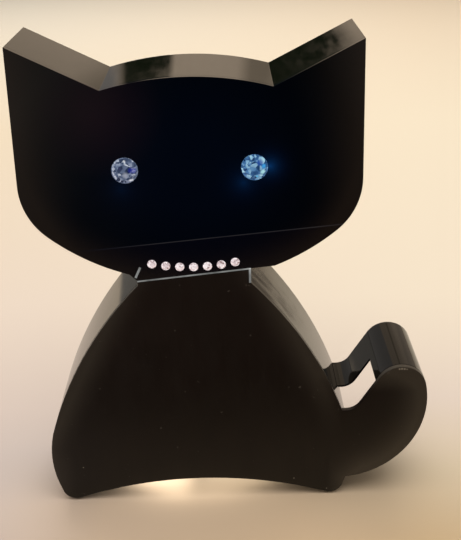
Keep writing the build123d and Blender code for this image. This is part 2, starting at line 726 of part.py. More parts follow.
def speaker_frame():
    y_front = COVER_Y - SPEAKER_D
    basket = rod(0, SPEAKER_Z, SPEAKER_R, y_front, COVER_Y)
    basket -= rod(0, SPEAKER_Z, SPEAKER_R - 1.2, y_front + 1.2, COVER_Y + 0.1)
    return basket + rod(0, SPEAKER_Z, MAGNET_R, y_front - MAGNET_T, y_front + 0.1)


def speaker_cone():
    """Paper cone with a dust cap."""
    low = (Align.CENTER, Align.CENTER, Align.MIN)
    base_y = COVER_Y - SPEAKER_D + 1.3
    flare = Rot(-90, 0, 0) * Cone(4.0, SPEAKER_R - 1.4, 3.4, align=low)
    paper = Pos(0, base_y, SPEAKER_Z) * flare - Pos(0, base_y + 0.6, SPEAKER_Z) * flare
    cap = Pos(0, base_y + 0.2, SPEAKER_Z) * Sphere(3.0)
    return paper + (cap & rod(0, SPEAKER_Z, 5, base_y, base_y + 4))


# ---------------------------------------------------------------- battery bay
def cell_rows():
    half = (CELL_COUNT - 1) / 2
    return [BAY_Z + (index - half) * CELL_PITCH for index in range(CELL_COUNT)]


CELL_Y = COVER_Y - 1.2 - CELL_R


def battery_tray():
    tray = block(-BAY_HALF_W - TRAY_WALL, BAY_HALF_W + TRAY_WALL, BAY_Y, COVER_Y,
                 BAY_Z - BAY_HALF_H - TRAY_WALL, BAY_Z + BAY_HALF_H + TRAY_WALL)
    tray -= block(-BAY_HALF_W, BAY_HALF_W, BAY_Y + TRAY_WALL, COVER_Y + 1,
                  BAY_Z - BAY_HALF_H, BAY_Z + BAY_HALF_H)
    saddle_half = 15.0
    saddle = block(-saddle_half, saddle_half, BAY_Y + 1, CELL_Y - 2,
                   BAY_Z - BAY_HALF_H, BAY_Z + BAY_HALF_H)
    for z in cell_rows():
        saddle -= Pos(0, CELL_Y, z) * Rot(0, 90, 0) * Cylinder(CELL_R + 0.1, 3 * saddle_half)
    for side in (-1, 1):
        x_from, x_to = sorted((side * (DOOR_HALF_W + 0.1), side * (DOOR_HALF_W + 4.6)))
        tray -= block(x_from, x_to, HINGE_Y - 2.6, COVER_Y + 1, HINGE_Z - 2.6, HINGE_Z + 2.6)
    return tray + saddle.solids()


def batteries():
    """Cells laid across, every second one turned end for end."""
    low = (Align.CENTER, Align.CENTER, Align.MIN)
    can = Cylinder(CELL_R, CELL_L - 1, align=low)
    can = fillet(can.edges().group_by(Axis.Z)[-1], 0.6)
    cell = Pos(0, 0, -CELL_L / 2) * (can + Cylinder(1.9, CELL_L, align=low))
    cells = []
    for index, z in enumerate(cell_rows()):
        turn = 90 if index % 2 == 0 else -90
        cells.append(Pos(0, CELL_Y, z) * Rot(0, turn, 0) * cell)
    return cells


def battery_contacts():
    """A flat plate at each cell's tip and a bent leaf at its other end."""
    wall_x = BAY_HALF_W
    cell_end = CELL_L / 2
    contacts = []
    for index, z in enumerate(cell_rows()):
        side = 1 if index % 2 == 0 else -1
        inner, outer = cell_end + 0.02, wall_x
        low_x, high_x = sorted((side * outer, side * (outer - 0.4)))
        plate = block(low_x, high_x, CELL_Y - 4, CELL_Y + 4, z - 4, z + 4)
        low_x, high_x = sorted((side * (outer - 0.4), side * inner))
        contacts.append(plate + rod_x(z, 1.6, low_x, high_x))
        contacts.append(leaf_contact(-side, z, inner, outer))
    return contacts


def rod_x(z, radius, x_from, x_to):
    middle = Pos((x_from + x_to) / 2, CELL_Y, z)
    return middle * Rot(0, 90, 0) * Cylinder(radius, x_to - x_from)


def leaf_contact(side, z, inner, outer):
    thickness = 0.4
    middle = thickness / 2
    path = Polyline(
        (side * (outer - middle), CELL_Y - 4),
        (side * (outer - middle), CELL_Y + 4),
        (side * (inner + middle + 0.3), CELL_Y),
        (side * (outer - 2.0), CELL_Y - 3),
    )
    flat = Plane(origin=(0, 0, z - 3), x_dir=(1, 0, 0), z_dir=(0, 0, 1))
    return flat * extrude(trace(path, thickness), 6.0)


def battery_leads():
    """Two wires from the tray up to the board."""
    top = BAY_Z + BAY_HALF_H + TRAY_WALL
    return [post(x, BOARD_Y - 0.6, 0.6, top, BOARD_Z - 4) for x in (-6.0, 6.0)]


def battery_door():
    """Flat lid that turns on a barrel along its lower edge."""
    plate = block(-DOOR_HALF_W, DOOR_HALF_W, COVER_Y, REAR_Y, HINGE_Z, DOOR_TOP_Z)
    barrel = along_hinge(HINGE_R, DOOR_HALF_W)
    bore = along_hinge(HINGE_PIN_R + 0.05, 2 * DOOR_HALF_W)
    thumb = Pos(0, REAR_Y + 5.2, DOOR_TOP_Z - 5) * Sphere(7.0)
    door = plate + barrel - bore - thumb
    groove_half, groove_pitch = 8.0, 3.0
    for index in range(3):
        z = HINGE_Z + 8 + index * groove_pitch
        door -= block(-groove_half, groove_half, REAR_Y - 0.5, REAR_Y + 1, z, z + 1.2)
    return door


def door_hinge_pin():
    return along_hinge(HINGE_PIN_R, DOOR_HALF_W + 3.3)


# ---------------------------------------------------------------- the whole clock
def all_parts():
    segments = display_segments()
    parts = {
        "head_panel": head_panel(),
        "body_panel": body_panel(),
        "collar_trim": collar_trim(),
        "head_shell": head_shell(),
        "body_shell": body_shell(),
        "tail_wall": tail_wall(),
        "head_back_cover": head_back_cover(),
        "body_back_cover": body_back_cover(),
        "head_cover_screws": cover_screws(both_sides(HEAD_SCREWS)),
        "body_cover_screws": cover_screws(both_sides(BODY_SCREWS)),
        "neck_plate": neck_plate(),
        "neck_screws": neck_screws(),
        "foot_pads": foot_pads(),
        "eye_crystal_left": eye_crystal(-EYE_X),
        "eye_crystal_right": eye_crystal(EYE_X),
        "eye_holder_left": eye_holder(-EYE_X),
        "eye_holder_right": eye_holder(EYE_X),
        "eye_led_left": eye_led(-EYE_X),
        "eye_led_right": eye_led(EYE_X),
        "eye_board": eye_board(),
        "collar_stones": collar_stones(),
        "display_frame": display_frame(),
        "display_module": display_module(segments),
        "display_segments": segments,
        "display_board": display_board(),
        "display_screws": display_screws(),
        "display_ribbon": display_ribbon(),
        "ribbon_plugs": ribbon_plugs(),
        "main_board": main_board(),
        "board_screws": board_screws(),
        "clock_chip": clock_chip(),
        "quartz_crystal": quartz_crystal(),
        "capacitors": capacitors(),
        "button_switches": button_switches(),
        "light_switch_body": light_switch_body(),
        "light_switch_knob": light_switch_knob(),
        "speaker_frame": speaker_frame(),
        "speaker_cone": speaker_cone(),
        "battery_tray": battery_tray(),
        "batteries": batteries(),
        "battery_contacts": battery_contacts(),
        "battery_leads": battery_leads(),
        "battery_door": battery_door(),
        "door_hinge_pin": door_hinge_pin(),
    }
    for name, x in BUTTON_X.items():
        parts[name] = push_button(x)
    return parts


def solids_of(shape):
    if isinstance(shape, list):
        return [solid for item in shape for solid in item.solids()]
    return shape.solids()


os.makedirs("parts", exist_ok=True)
for node, shape in all_parts().items():
    moved = [Pos(HEAD_AXIS_X, 0, 0) * solid for solid in solids_of(shape)]
    export_step(Compound(children=moved), f"parts/{node}.step")
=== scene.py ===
import json
import math

import bmesh
import bpy
from mathutils import Matrix, Vector


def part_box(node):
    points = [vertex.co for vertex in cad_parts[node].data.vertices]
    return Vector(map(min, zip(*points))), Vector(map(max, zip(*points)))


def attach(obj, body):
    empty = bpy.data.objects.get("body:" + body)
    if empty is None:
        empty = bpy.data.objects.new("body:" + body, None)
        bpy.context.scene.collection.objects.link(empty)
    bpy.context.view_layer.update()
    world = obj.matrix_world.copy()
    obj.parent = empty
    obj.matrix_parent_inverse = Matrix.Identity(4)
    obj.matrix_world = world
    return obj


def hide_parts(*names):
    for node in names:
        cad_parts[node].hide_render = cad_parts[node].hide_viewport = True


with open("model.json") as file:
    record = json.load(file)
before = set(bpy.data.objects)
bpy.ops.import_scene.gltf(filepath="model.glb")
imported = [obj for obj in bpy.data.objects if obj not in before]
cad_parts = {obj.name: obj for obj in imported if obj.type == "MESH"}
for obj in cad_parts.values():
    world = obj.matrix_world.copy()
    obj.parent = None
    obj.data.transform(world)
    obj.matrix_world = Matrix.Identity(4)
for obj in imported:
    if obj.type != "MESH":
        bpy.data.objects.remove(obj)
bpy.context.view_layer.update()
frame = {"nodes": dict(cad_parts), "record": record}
MM = 0.001
ROOT = "clock"

# ---------------------------------------------------------------- places read from the frame
EYES = {side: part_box(f"eye_crystal_{side}") for side in ("left", "right")}
HEAD_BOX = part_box("head_panel")
FRONT_Y = HEAD_BOX[0].y
HEAD_AXIS_X = (HEAD_BOX[0].x + HEAD_BOX[1].x) / 2


def centre_of(box):
    return (box[0] + box[1]) / 2


# ---------------------------------------------------------------- camera
CAMERA_LENS = 66.7
SENSOR_WIDTH = 36.0
NEAR_CLIP = 0.01
CAMERA_PITCH = math.radians(23.5)
CAMERA_ROLL = math.radians(1.5)
CAMERA_REACH = 0.469        # along the view axis, to the front face
AIM_RIGHT_OF_HEAD = 0.0172
AIM_HEIGHT = 0.128


def make_camera():
    data = bpy.data.cameras.new("camera")
    data.lens = CAMERA_LENS
    data.sensor_width = SENSOR_WIDTH
    data.clip_start = NEAR_CLIP
    camera = bpy.data.objects.new("camera", data)
    bpy.context.scene.collection.objects.link(camera)
    forward = Vector((0, math.cos(CAMERA_PITCH), -math.sin(CAMERA_PITCH)))
    level_right = Vector((1, 0, 0))
    level_up = level_right.cross(forward)
    right = level_right * math.cos(CAMERA_ROLL) - level_up * math.sin(CAMERA_ROLL)
    up = level_right * math.sin(CAMERA_ROLL) + level_up * math.cos(CAMERA_ROLL)
    aim = Vector((HEAD_AXIS_X + AIM_RIGHT_OF_HEAD, FRONT_Y, AIM_HEIGHT))
    turn = Matrix((right, up, -forward)).transposed()
    camera.matrix_world = Matrix.Translation(aim - forward * CAMERA_REACH) @ turn.to_4x4()
    bpy.context.scene.camera = camera


def grey(value):
    return (value, value, value, 1)


# ---------------------------------------------------------------- marks and painted light on the smoked panel
FILM_LEFT = (HEAD_AXIS_X - 0.049, 0.1395)      # film edge behind the panel: X, Z
FILM_RIGHT = (HEAD_AXIS_X + 0.0705, 0.1496)
FILM_WIDTH = 0.40 * MM
FILM_BLUR = 0.2 * MM                           # over which the film's tone gives way above its edge
FILM_FADE = 30 * MM                            # over which the painted highlight on its edge grows bright from the left
# strength of the painted highlight along the film's edge
FILM_GLOW = 0.028
FILM_TINT = (0.9, 0.8, 0.8, 1)
CLEAR_TONES = ((0.0002, 0.0005, 0.0012), (0.0003, 0.0008, 0.0020))
FILM_TONES = ((0.0012, 0.0009, 0.0022), (0.0018, 0.0013, 0.0032))
EYE_GLOWS = [                                  # side, reach in X and Z, power, fall-off
    ("right", 0.0070, 0.0004, 0.10, -430.0),
    ("right", -0.0050, -0.0070, 0.035, -330.0),
    ("left", -0.0020, -0.0085, 0.010, -260.0),
]
GLOW_TINT = (0.02, 0.26, 1.0, 1)
FACE_CENTRE = (HEAD_AXIS_X, 0.178)             # middle of the blue cast on the face
FACE_REACH = (18 * MM, 74 * MM)                # full inside the first, gone at the second
FACE_GLOW = 0.0032
CHEEK_REACH = (48 * MM, 78 * MM)               # painted warm light on the cheeks, from the head's axis
CHIN_CENTRE = (HEAD_AXIS_X, 0.2266)            # painted warm light along the chin, an arc about this centre
CHIN_REACH = (0.1042 - 20 * MM, 0.1042)
# tone of the painted warm light on the cheeks and along the chin
PAINTED_EDGE_LIGHT_TONE = (0.0120, 0.0090, 0.0078, 1)
# a purplish tint on the -X side of the face, above its middle
PURPLE_TINT_CENTRE = (HEAD_AXIS_X - 0.040, 0.204)
PURPLE_TINT_REACH = (4 * MM, 0.030)
PURPLE_TINT_TONE = (0.0100, 0.0045, 0.0075, 1)

# ---------------------------------------------------------------- marks and painted light on the satin front
SPECKS_AND_GLINT = [                                     # pale specks on the body, then a painted highlight on the tail tip: X, Z, radius
    (HEAD_AXIS_X - 0.0607, 0.0199, 0.45 * MM),
    (HEAD_AXIS_X + 0.0471, 0.0101, 0.45 * MM),
    (HEAD_AXIS_X + 0.0640, 0.0033, 0.40 * MM),
    # these four make a painted highlight on the tail tip's top front edge
    (HEAD_AXIS_X + 0.0989, 0.0726, 0.60 * MM),
    (HEAD_AXIS_X + 0.1001, 0.0727, 0.75 * MM),
    (HEAD_AXIS_X + 0.1014, 0.0726, 0.70 * MM),
    (HEAD_AXIS_X + 0.1026, 0.0724, 0.50 * MM),
]
SPECK_AND_GLINT_TONE = (0.3, 0.28, 0.25, 1)
DUST = 0.10                                    # share of the speck tone in the fine dust
BODY_HALF_WIDTH = (0.0920, -0.50, 0.0765)      # at the table, change with height, widest allowed
RIM_REACH = (-14 * MM, 1 * MM)                 # painted rim light along the body's edge, measured outwards
RIM_SHARE = 0.75
# painted rim light along the tail's outer edge, stronger towards +X
TAIL_CENTRE = (HEAD_AXIS_X + 0.069, 0.0544)
TAIL_REACH = (12 * MM, 0.0445)
TAIL_FALL = 3.5
TAIL_TOP = (0.06, 0.07)                        # above this the painted rim light returns on the body's own edge
# tone of the painted rim light
RIM_LIGHT_TONE = (0.040, 0.034, 0.027, 1)
ARCH_TOP, ARCH_SAG = 0.0115, 2.54              # the arch's lower edge falls by sag * X squared
ARCH_REACH = 12 * MM
# painted warm light on the front about the arch, from the lit table beneath it
PAINTED_ARCH_LIGHT_TONE = (0.018, 0.014, 0.008, 1)
SATIN_TONES = ((0.0112, 0.0068, 0.0055), (0.0142, 0.0088, 0.0074))
LOW_TONE = (0.0008, 0.0003, 0.0001, 1)         # the satin darkens towards the table
LOW_REACH = (0.005, 0.095)

# ---------------------------------------------------------------- polished walls
POLISH_TONES = ((0.0014, 0.0012, 0.0010), (0.0026, 0.0022, 0.0018))
# tone of the painted reflection streaks below the +X cheek
REFLECTION_STREAK_TONE = (0.020, 0.012, 0.008, 1)
STREAK_RISE = 0.55                             # the painted reflection streaks start lower towards the back
STREAK_HEIGHT = (0.080, 0.100)
STREAK_DEPTH = (-0.006, 0.010)                 # they fade over this span of Y
STREAK_ROUGHNESS = 0.40

# ---------------------------------------------------------------- cut stones
STONE_PROUD = 1.5 * MM                         # the painted glints lie this far before the front face
STONE_PATCHES = 520.0
FACET_STEP = (0.05, 0.05, 0.05)                # facets whose directions are closer look alike
# strength of the painted sparkle the stones give off
EYE_SPARKLE = 0.60
COLLAR_SPARKLE = 0.75
COLLAR_STOPS = ((0.15, (0.25, 0.17, 0.17)), (0.4, (0.62, 0.52, 0.55)),
                (0.65, (0.88, 0.80, 0.84)), (0.9, (1, 1, 1)))
EYE_STOPS = {                                  # facet tones, from the darkest share of light up
    "left": ((0.18, (0.005, 0.012, 0.04)), (0.40, (0.06, 0.09, 0.17)),
             (0.62, (0.17, 0.22, 0.35)), (0.88, (0.80, 0.88, 1.0))),
    "right": ((0.18, (0.003, 0.020, 0.08)), (0.40, (0.03, 0.10, 0.26)),
              (0.62, (0.09, 0.25, 0.54)), (0.88, (0.50, 0.86, 1.0))),
}
EYE_GLINTS = {                                  # painted glints and lit facets: X and Z from the eye's centre, radius, colour
    "left": [
        (0.0030, 0.0006, 0.0018, (0.01, 0.02, 0.30, 1)),
        (0.0045, 0.0004, 0.0015, (0.01, 0.03, 0.40, 1)),
        (0.0004, -0.0016, 0.0018, (0.42, 0.45, 0.55, 1)),
        (-0.0018, 0.0014, 0.0010, (0.05, 0.05, 0.16, 1)),
        (0.0002, 0.0050, 0.0009, (1, 1, 1, 1)),
        (-0.0046, 0.0036, 0.0008, (0.9, 0.9, 1, 1)),
    ],
    "right": [
        (-0.0012, 0.0004, 0.0022, (0.13, 0.30, 0.55, 1)),
        (0.0024, 0.0026, 0.0020, (0.01, 0.06, 0.40, 1)),
        (0.0042, 0.0010, 0.0014, (0.05, 0.45, 1.0, 1)),
        (0.0036, -0.0016, 0.0015, (0.55, 1.0, 1.0, 1)),
        (0.0010, -0.0036, 0.0008, (0.1, 0.6, 1, 1)),
    ],
}

# ---------------------------------------------------------------- plain plastics and metals
MOULDED = {                                    # slot: colour, roughness, then grain and its depth
    "cover_black": ((0.022, 0.021, 0.020), 0.45),
    "pad_rubber": ((0.02, 0.02, 0.02), 0.8, 600.0, 0.00006),
    "module_grey": ((0.03, 0.03, 0.033), 0.6),
    "segment_white": ((0.45, 0.48, 0.52), 0.3),
    "ribbon_grey": ((0.30, 0.30, 0.32), 0.5),
    "plug_ivory": ((0.60, 0.56, 0.45), 0.45),
    "chip_black": ((0.02, 0.02, 0.021), 0.4),
    "capacitor_sleeve": ((0.02, 0.04, 0.15), 0.3),
    "button_grey": ((0.10, 0.10, 0.105), 0.4),
    "cone_paper": ((0.05, 0.048, 0.045), 0.85, 500.0, 0.00008),
    "wire_red": ((0.35, 0.02, 0.02), 0.35),
}
METALS = {                                     # slot: colour, roughness
    "screw_steel": ((0.55, 0.54, 0.52), 0.35),
    "can_steel": ((0.6, 0.6, 0.62), 0.25),
    "contact_nickel": ((0.7, 0.68, 0.62), 0.2),
}

# ---------------------------------------------------------------- stage tones
FLOOR_HALF = 6.0
FLOOR_EYE = (0.455, 0.315)     # how far in front of the origin, and how high, the tones are set from
FLOOR_STEEP = (0.14, 0.80)     # height over distance at the far and the near end of the tones
VIEW_WIDTH = (0.917, 0.126)    # the view's width: growth with distance, and start
VIEW_HALF = 0.19
# painted light and shade on the table: paler far off, darker towards the camera
FLOOR_LEFT = ((0.0, (0.62, 0.59, 0.54)), (0.2, (0.62, 0.55, 0.45)), (0.5, (0.62, 0.55, 0.50)),
              (0.7, (0.58, 0.51, 0.49)), (0.85, (0.50, 0.45, 0.45)), (1.0, (0.45, 0.40, 0.40)))
FLOOR_RIGHT = ((0.0, (0.62, 0.53, 0.43)), (0.2, (0.66, 0.60, 0.50)), (0.5, (0.66, 0.60, 0.52)),
               (0.7, (0.60, 0.53, 0.49)), (0.85, (0.56, 0.48, 0.37)), (1.0, (0.52, 0.40, 0.26)))
LIGHT_POOL_TONE = (0.84, 0.62, 0.40, 1)              # painted warm pool of light on the table before the body
LIGHT_POOL_SHARE = 0.45
MIRROR_DIM = 0.22                              # how much darker the table looks in the gloss
MIRROR_SPAN = 0.3                              # half the width over which FRONT_TONES are laid
FRONT_TONES = ((0.06, grey(0.18)), (0.16, grey(0.09)), (0.28, grey(0.03)), (0.40, grey(0.006)),
               (0.64, grey(0.006)), (0.74, grey(0.05)), (0.86, grey(0.14)))
REAR_LEFT_TONE = grey(0.14)
WALL_TONES = ((0.0, 0.45), (0.22, 0.50), (0.30, 0.70), (0.42, 0.66), (0.60, 0.44), (1.0, 0.30))
WALL_GREEN, WALL_BLUE = 0.79, 0.58             # of the wall's tone
LEFT_WALL = (0.26, 0.24, 0.22, 1)
RIGHT_WALL = (0.36, 0.29, 0.22, 1)
DARK_THING = (0.008, 0.014, 0.006, 1)
WALL_EDGE = (0.10, 0.08, 0.05, 1)
UNLIT_FRONT = (0.012, 0.011, 0.012, 1)
ROOM_FRONT = (0.40, 0.36, 0.31, 1)
ROOM_BACK = (0.75, 0.66, 0.54, 1)
BACKDROP = (0.86, 0.74, 0.56, 1)

# ---------------------------------------------------------------- lights
ROOM_LIGHTS = (                # name, place, aimed at, size, power, colour
    ("back_light", (-0.10, 1.2, 1.1), (0, 0.2, 0), 1.5, 16.0, (1.0, 0.93, 0.82)),
    ("top_light", (0.1, -0.35, 1.5), (0, -0.1, 0), 1.5, 16.0, (1.0, 0.95, 0.88)),
)
ARCH_LIGHTS = (                # name, X from the head's axis, width, power
    ("arch_light_left", -0.036, 0.058, 0.017),
    ("arch_light_right", 0.030, 0.062, 0.008),
)
ARCH_LIGHT_HEIGHT = 0.0080
ARCH_LIGHT_Y = -0.010
ARCH_AIM_Y = -0.012
ARCH_LIGHT_DEPTH = 0.03
ARCH_LIGHT_COLOUR = (1.0, 0.90, 0.72)

NOISE_LOW, NOISE_HIGH = 0.3, 0.7               # between these a noise texture does most of its work


# ---------------------------------------------------------------- node helpers
class Tree:
    """A node tree with short calls for the nodes used here."""

    def __init__(self, tree):
        self.tree = tree

    def add(self, kind, **settings):
        node = self.tree.nodes.new(kind)
        for key, value in settings.items():
            setattr(node, key, value)
        return node

    def feed(self, socket, value):
        if isinstance(value, bpy.types.NodeSocket):
            self.tree.links.new(value, socket)
        else:
            socket.default_value = value

    def split(self, vector):
        """The three parts of a vector."""
        node = self.add("ShaderNodeSeparateXYZ")
        self.feed(node.inputs[0], vector)
        return node.outputs

    def math(self, operation, *values):
        node = self.add("ShaderNodeMath", operation=operation)
        for socket, value in zip(node.inputs, values):
            self.feed(socket, value)
        return node.outputs[0]

    def times(self, first, *others):
        for value in others:
            first = self.math("MULTIPLY", first, value)
        return first

    def squared(self, value):
        return self.math("POWER", value, 2.0)

    def capped(self, value):
        return self.math("MINIMUM", value, 1.0)

    def spread(self, factor, low_in, high_in, low_out, high_out):
        node = self.add("ShaderNodeMapRange")
        for name, value in (("Value", factor), ("From Min", low_in), ("From Max", high_in),
                            ("To Min", low_out), ("To Max", high_out)):
            self.feed(node.inputs[name], value)
        return node.outputs[0]

    def rising(self, value, start, end):
        """0 up to the start, 1 from the end on."""
        return self.spread(value, start, end, 0.0, 1.0)

    def falling(self, value, start, end):
        """1 up to the start, 0 from the end on."""
        return self.spread(value, start, end, 1.0, 0.0)

    def ramp(self, factor, *stops):
        node = self.add("ShaderNodeValToRGB")
        ramp = node.color_ramp
        while len(ramp.elements) < len(stops):
            ramp.elements.new(0.5)
        for element, (position, colour) in zip(ramp.elements, stops):
            element.position = position
            element.color = (*colour, 1) if len(colour) == 3 else colour
        self.feed(node.inputs[0], factor)
        return node.outputs["Color"]

    def mix(self, factor, first, second):
        node = self.add("ShaderNodeMix", data_type="RGBA")
        self.feed(node.inputs[0], factor)
        self.feed(node.inputs[6], first)
        self.feed(node.inputs[7], second)
        return node.outputs[2]


class Nodes(Tree):
    """The node tree of a new material."""

    def __init__(self, name):
        self.material = bpy.data.materials.new(name)
        self.material.use_nodes = True
        super().__init__(self.material.node_tree)
        self.shader = self.tree.nodes["Principled BSDF"]

    def set(self, **sockets):
        for name, value in sockets.items():
            self.feed(self.shader.inputs[name.replace("_", " ")], value)

    def place(self):
        return self.add("ShaderNodeTexCoord").outputs["Object"]

    def noise(self, scale, detail=2.0, stretch=(1, 1, 1)):
        squeeze = self.add("ShaderNodeMapping")
        squeeze.inputs["Scale"].default_value = stretch
        self.feed(squeeze.inputs["Vector"], self.place())
        node = self.add("ShaderNodeTexNoise")
        self.feed(node.inputs["Vector"], squeeze.outputs[0])
        self.feed(node.inputs["Scale"], scale)
        self.feed(node.inputs["Detail"], detail)
        return node.outputs["Fac"]

    def varied(self, low, high, *noise):
        """A value that wanders between two limits over the surface."""
        return self.spread(self.noise(*noise), NOISE_LOW, NOISE_HIGH, low, high)

    def shaded(self, tones, factor):
        """A colour between a dark and a light tone, by a noise."""
        dark, light = tones
        return self.ramp(factor, (NOISE_LOW, dark), (NOISE_HIGH, light))

    def away(self, x, z, y=FRONT_Y):
        """Distance from a mark, which lies on the front face unless y is given."""
        node = self.add("ShaderNodeVectorMath", operation="DISTANCE")
        self.feed(node.inputs[0], self.place())
        node.inputs[1].default_value = (x, y, z)
        return node.outputs["Value"]

    def off_axis(self, across):
        """Distance to either side of the head's axis."""
        return self.math("ABSOLUTE", self.math("SUBTRACT", across, HEAD_AXIS_X))

    def bump(self, height, distance, strength=1.0):
        node = self.add("ShaderNodeBump")
        self.feed(node.inputs["Height"], height)
        node.inputs["Distance"].default_value = distance
        node.inputs["Strength"].default_value = strength
        self.feed(self.shader.inputs["Normal"], node.outputs[0])


# ---------------------------------------------------------------- materials
def smoked_panel():
    """Polished smoked acrylic: painted blue glow where light leaks in at the eyes, the film's edge shows
    below with a painted highlight along it, painted warm light towards the cheeks and chin.
    """
    n = Nodes("smoked_panel")
    across, _, up = n.split(n.place())
    slope = (FILM_RIGHT[1] - FILM_LEFT[1]) / (FILM_RIGHT[0] - FILM_LEFT[0])
    film_z = n.math("MULTIPLY_ADD", n.math("SUBTRACT", across, FILM_LEFT[0]), slope, FILM_LEFT[1])
    above = n.math("SUBTRACT", up, film_z)
    # painted highlight along the film's edge, given off as emission
    line = n.falling(n.math("ABSOLUTE", above), 0.0, FILM_WIDTH)
    fade = n.spread(across, FILM_LEFT[0], FILM_LEFT[0] + FILM_FADE, 0.1, 1.0)
    line = n.times(line, fade, n.varied(0.6, 1.0, 60, 2))
    cloud = n.noise(9, 3)
    below_edge = n.falling(above, -FILM_BLUR, FILM_BLUR)
    base = n.mix(below_edge, n.shaded(CLEAR_TONES, cloud), n.shaded(FILM_TONES, cloud))
    # painted warm light towards the cheeks and along the chin
    cheeks = n.squared(n.rising(n.off_axis(across), *CHEEK_REACH))
    chin = n.squared(n.rising(n.away(*CHIN_CENTRE), *CHIN_REACH))
    cloudy = n.spread(cloud, NOISE_LOW, NOISE_HIGH, 0.95, 1.25)
    painted_edge_light = n.times(n.math("ADD", cheeks, chin), cloudy)
    base = n.mix(n.capped(painted_edge_light), base, PAINTED_EDGE_LIGHT_TONE)
    purple_tint = n.spread(n.away(*PURPLE_TINT_CENTRE), *PURPLE_TINT_REACH, 0.8, 0.0)
    n.set(Base_Color=n.mix(purple_tint, base, PURPLE_TINT_TONE))
    n.set(Roughness=n.varied(0.025, 0.06, 140, 4), IOR=1.49)
    middle = n.spread(n.away(*FACE_CENTRE), *FACE_REACH, FACE_GLOW, 0.0)
    glow = n.math("ADD", middle, n.times(line, FILM_GLOW))
    for side, reach_x, reach_z, power, fall_off in EYE_GLOWS:
        eye = centre_of(EYES[side])
        away = n.away(eye.x + reach_x, eye.z + reach_z)
        fall = n.math("EXPONENT", n.times(away, fall_off))
        glow = n.math("ADD", glow, n.times(fall, power))
    tint = n.mix(n.capped(n.times(line, 2.0)), GLOW_TINT, FILM_TINT)
    n.set(Emission_Color=tint, Emission_Strength=glow)
    return n.material


def satin_black():
    """Fine-grained satin lacquer with painted rim light towards its edges, painted warm light about the
    arch, dust, a few pale specks and a painted highlight on the tail tip.
    """
    n = Nodes("satin_black")
    across, _, up = n.split(n.place())
    sideways = n.off_axis(across)
    at_table, taper, widest = BODY_HALF_WIDTH
    half_width = n.math("MULTIPLY_ADD", up, taper, at_table)
    # painted rim light along the body's outline and the tail's outer edge
    rim = n.math("SUBTRACT", sideways, n.math("MINIMUM", half_width, widest))
    rim = n.squared(n.rising(rim, *RIM_REACH))
    on_body = n.falling(across, TAIL_CENTRE[0] - 12 * MM, TAIL_CENTRE[0] + 2 * MM)
    rim = n.times(rim, RIM_SHARE, n.math("MAXIMUM", on_body, n.rising(up, *TAIL_TOP)))
    tail = n.math("POWER", n.rising(n.away(*TAIL_CENTRE), *TAIL_REACH), TAIL_FALL)
    tail = n.times(tail, n.spread(across, TAIL_CENTRE[0] - 5 * MM, TAIL_CENTRE[0] + 12 * MM, 0.0, 1.6))
    # painted warm light about the arch
    arch_z = n.math("MULTIPLY_ADD", n.squared(sideways), -ARCH_SAG, ARCH_TOP)
    arch = n.squared(n.falling(n.math("SUBTRACT", up, arch_z), 0.0, ARCH_REACH))
    marks = n.times(n.ramp(n.noise(420, 1), (0.77, (0, 0, 0)), (0.80, (1, 1, 1))), DUST)
    # the listed specks end with the painted highlight on the tail tip
    for x, z, radius in SPECKS_AND_GLINT:
        marks = n.math("ADD", marks, n.falling(n.away(x, z), 0.0, radius))
    base = n.shaded(SATIN_TONES, n.noise(28, 3))
    base = n.mix(n.spread(up, *LOW_REACH, 0.92, 0.0), base, LOW_TONE)
    base = n.mix(n.times(arch, 0.3), base, PAINTED_ARCH_LIGHT_TONE)
    base = n.mix(n.capped(n.math("ADD", rim, tail)), base, RIM_LIGHT_TONE)
    n.set(Base_Color=n.mix(n.capped(marks), base, SPECK_AND_GLINT_TONE))
    n.set(Roughness=n.varied(0.30, 0.42, 220, 4, (1, 1, 0.25)), IOR=1.46)
    n.bump(n.noise(1500, 2), 0.00002)
    return n.material


def piano_black(name, streaked=False):
    """Polished black with a faint ripple and hairline wipe marks; painted reflection streaks below the +X
    cheek.
    """
    n = Nodes(name)
    base = n.shaded(POLISH_TONES, n.noise(40, 3))
    roughness = n.spread(n.noise(260, 4, (1, 0.2, 1)), 0.35, 0.7, 0.045, 0.10)
    if streaked:
        across, along, up = n.split(n.place())
        right = n.rising(across, HEAD_AXIS_X, HEAD_AXIS_X + 10 * MM)
        height = n.math("ADD", up, n.times(along, STREAK_RISE))
        near = n.times(right, n.rising(height, *STREAK_HEIGHT), n.spread(along, *STREAK_DEPTH, 1.0, 0.15))
        # painted reflection streaks, with rougher gloss along them
        streak = n.times(near, n.spread(n.noise(75, 1, (1, 1.6, 0.45)), 0.40, 0.60, 0.45, 1.0))
        base = n.mix(streak, base, REFLECTION_STREAK_TONE)
        roughness = n.math("ADD", roughness, n.times(streak, STREAK_ROUGHNESS))
    n.set(Base_Color=base, Roughness=roughness, IOR=1.5)
    n.bump(n.noise(45, 1), 0.00002, 0.4)
    return n.material


def moulded(name, colour, roughness=0.5, grain=900.0, depth=0.00003):
    """Moulded plastic with a spark-eroded texture."""
    n = Nodes(name)
    dark = tuple(c * 0.85 for c in colour)
    light = tuple(c * 1.15 for c in colour)
    n.set(Base_Color=n.shaded((dark, light), n.noise(60, 3)))
    n.set(Roughness=n.varied(roughness - 0.06, roughness + 0.06, 300, 3), IOR=1.5)
    n.bump(n.noise(grain, 2), depth)
    return n.material


def metal(name, colour, roughness):
    """Bare metal, slightly uneven in tone and polish."""
    n = Nodes(name)
    dark = tuple(c * 0.8 for c in colour)
    light = tuple(min(1, c * 1.1) for c in colour)
    n.set(Base_Color=n.shaded((dark, light), n.noise(300, 3)), Metallic=1.0)
    n.set(Roughness=n.varied(roughness * 0.7, roughness * 1.3, 700, 3))
    return n.material


